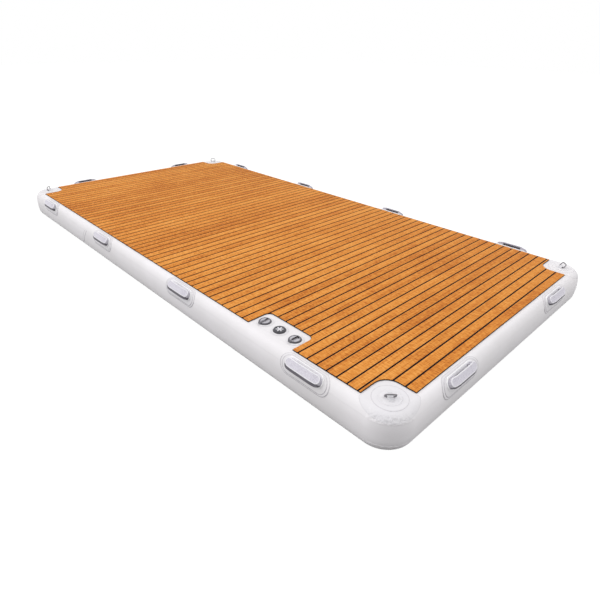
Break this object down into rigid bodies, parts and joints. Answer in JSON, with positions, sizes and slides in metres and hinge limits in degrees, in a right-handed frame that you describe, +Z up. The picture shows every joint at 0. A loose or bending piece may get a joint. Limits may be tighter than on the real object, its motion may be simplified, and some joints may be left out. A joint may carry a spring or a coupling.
{
  "type": "inflatable swim platform",
  "caption": "Flat floating platform with a taped drop-stitch hull, foam teak deck, grab handles round the edge, D-rings at the corners and hinged valve caps in a bay of the deck.",
  "frame": {"origin": "under the middle of the hull, on the surface that it lies on", "axes": "+X along the hull, towards the short side nearest the valves; +Y across it, from the valve side to the far side; +Z up"},
  "size_m": [4.1494, 2.0994, 0.2388],
  "materials": {
    "cloth": "white PVC coated cloth, satin",
    "tape": "white PVC tape, satin",
    "patch": "white PVC patch, satin",
    "webbing": "white woven webbing",
    "rubber": "light grey moulded rubber, matt",
    "grey": "grey moulded plastic",
    "dark": "dark sealing rubber",
    "steel": "polished stainless steel",
    "black_foam": "black closed-cell foam",
    "teak_foam": "teak coloured closed-cell foam, brushed"
  },
  "bodies": {
    "hull": {"drop_stitch_core": "cloth", "side_wall": "cloth", "seam_tape_top": "tape", "seam_tape_bottom": "tape", "deck_underlay": "black_foam", "deck_teak": "teak_foam", "corner_patch_near_left": "patch", "corner_patch_far_left": "patch", "corner_patch_near_right": "patch", "corner_patch_far_right": "patch", "ring_keeper_near_left": "webbing", "ring_keeper_far_left": "webbing", "ring_keeper_near_right": "webbing", "ring_keeper_far_right": "webbing", "handle_patch_near_1": "patch", "handle_patch_near_2": "patch", "handle_patch_near_3": "patch", "handle_patch_near_4": "patch", "handle_patch_far_1": "patch", "handle_patch_far_2": "patch", "handle_patch_far_3": "patch", "handle_patch_far_4": "patch", "handle_patch_left_1": "patch", "handle_patch_left_2": "patch", "handle_patch_right_1": "patch", "handle_patch_right_2": "patch", "handle_near_1": "rubber", "handle_near_2": "rubber", "handle_near_3": "rubber", "handle_near_4": "rubber", "handle_far_1": "rubber", "handle_far_2": "rubber", "handle_far_3": "rubber", "handle_far_4": "rubber", "handle_left_1": "rubber", "handle_left_2": "rubber", "handle_right_1": "rubber", "handle_right_2": "rubber", "valve_patch_left": "patch", "valve_patch_right": "patch", "valve_body_left": "grey", "valve_body_right": "grey", "valve_nut_left": "grey", "valve_nut_right": "grey", "valve_spring_left": "steel", "valve_spring_right": "steel", "relief_patch": "patch", "relief_body": "grey", "relief_nut": "grey", "relief_spring": "steel", "relief_cover": "grey"},
    "ring_near_left": {"d_ring_near_left": "steel"},
    "ring_far_left": {"d_ring_far_left": "steel"},
    "ring_near_right": {"d_ring_near_right": "steel"},
    "ring_far_right": {"d_ring_far_right": "steel"},
    "cap_left": {"valve_cap_left": "grey"},
    "cap_right": {"valve_cap_right": "grey"},
    "poppet_left": {"valve_poppet_left": "dark"},
    "poppet_right": {"valve_poppet_right": "dark"},
    "poppet_relief": {"relief_poppet": "dark"}
  },
  "joints": [
    {"name": "ring_near_left_swing", "type": "hinge", "parent": "hull", "child": "ring_near_left", "pos_m": [-1.935, -0.905, 0.2089], "axis": [0.7071, -0.7071, 0], "range_deg": [-95, 85]},
    {"name": "ring_far_left_swing", "type": "hinge", "parent": "hull", "child": "ring_far_left", "pos_m": [-1.935, 0.905, 0.2089], "axis": [0.7071, 0.7071, 0], "range_deg": [-85, 95]},
    {"name": "ring_near_right_swing", "type": "hinge", "parent": "hull", "child": "ring_near_right", "pos_m": [1.935, -0.905, 0.2089], "axis": [0.7071, 0.7071, 0], "range_deg": [-125, 55]},
    {"name": "ring_far_right_swing", "type": "hinge", "parent": "hull", "child": "ring_far_right", "pos_m": [1.935, 0.905, 0.2089], "axis": [0.7071, -0.7071, 0], "range_deg": [-55, 125]},
    {"name": "cap_left_hinge", "type": "hinge", "parent": "hull", "child": "cap_left", "pos_m": [1.16, -0.9405, 0.2073], "axis": [1, 0, 0], "range_deg": [0, 150]},
    {"name": "cap_right_hinge", "type": "hinge", "parent": "hull", "child": "cap_right", "pos_m": [1.38, -0.9405, 0.2073], "axis": [1, 0, 0], "range_deg": [0, 150]},
    {"name": "poppet_left_slide", "type": "slide", "parent": "hull", "child": "poppet_left", "axis": [0, 0, -1], "range_m": [0, 0.004], "stiffness_N_per_m": 400, "springref_m": -0.003, "deforming": ["valve_spring_left"]},
    {"name": "poppet_right_slide", "type": "slide", "parent": "hull", "child": "poppet_right", "axis": [0, 0, -1], "range_m": [0, 0.004], "stiffness_N_per_m": 400, "springref_m": -0.003, "deforming": ["valve_spring_right"]},
    {"name": "poppet_relief_slide", "type": "slide", "parent": "hull", "child": "poppet_relief", "axis": [0, 0, 1], "range_m": [0, 0.004], "stiffness_N_per_m": 400, "springref_m": -0.003, "deforming": ["relief_spring"]}
  ]
}
